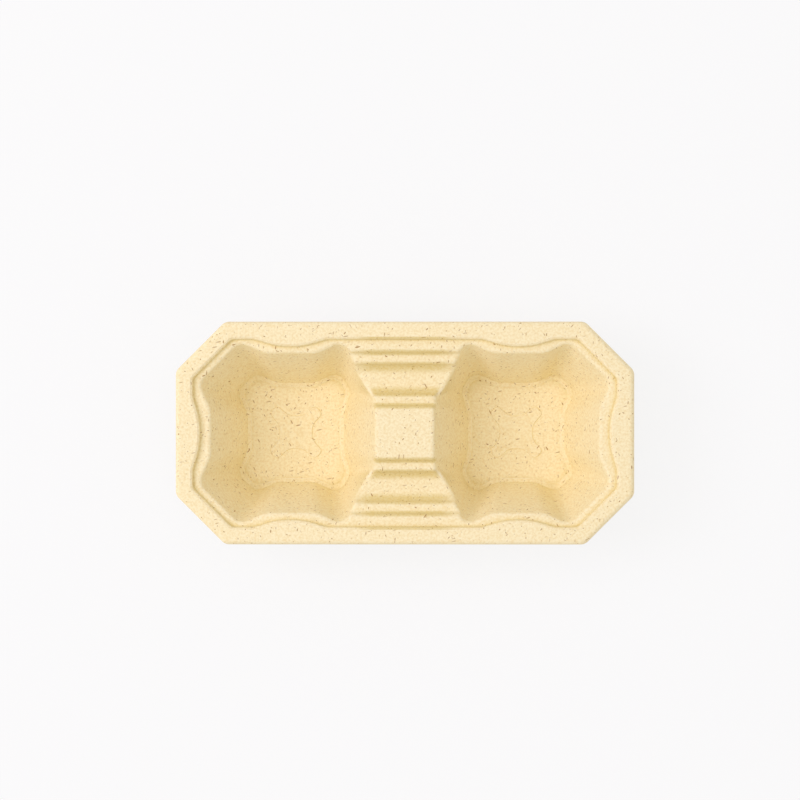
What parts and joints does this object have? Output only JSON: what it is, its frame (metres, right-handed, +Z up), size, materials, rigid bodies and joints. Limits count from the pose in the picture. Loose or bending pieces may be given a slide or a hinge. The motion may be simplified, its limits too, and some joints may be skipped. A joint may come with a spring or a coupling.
{
  "type": "cup carrier tray",
  "caption": "Shallow moulded-pulp carrier tray with fluted, tapered cup pockets, a stepped bridge between them and a turned-down rim.",
  "frame": {"origin": "centre of the footprint, on the table under the pocket floors", "axes": "+X along the tray from one cup pocket to the other, +Y across it, +Z up out of the pockets' mouths"},
  "size_m": [0.215, 0.1046, 0.045],
  "materials": {
    "pulp": "matte unbleached plant-fibre pulp, finely mottled, with scattered brown fibre specks"
  },
  "bodies": {
    "root": {"carrier_tray": "pulp"}
  },
  "joints": []
}
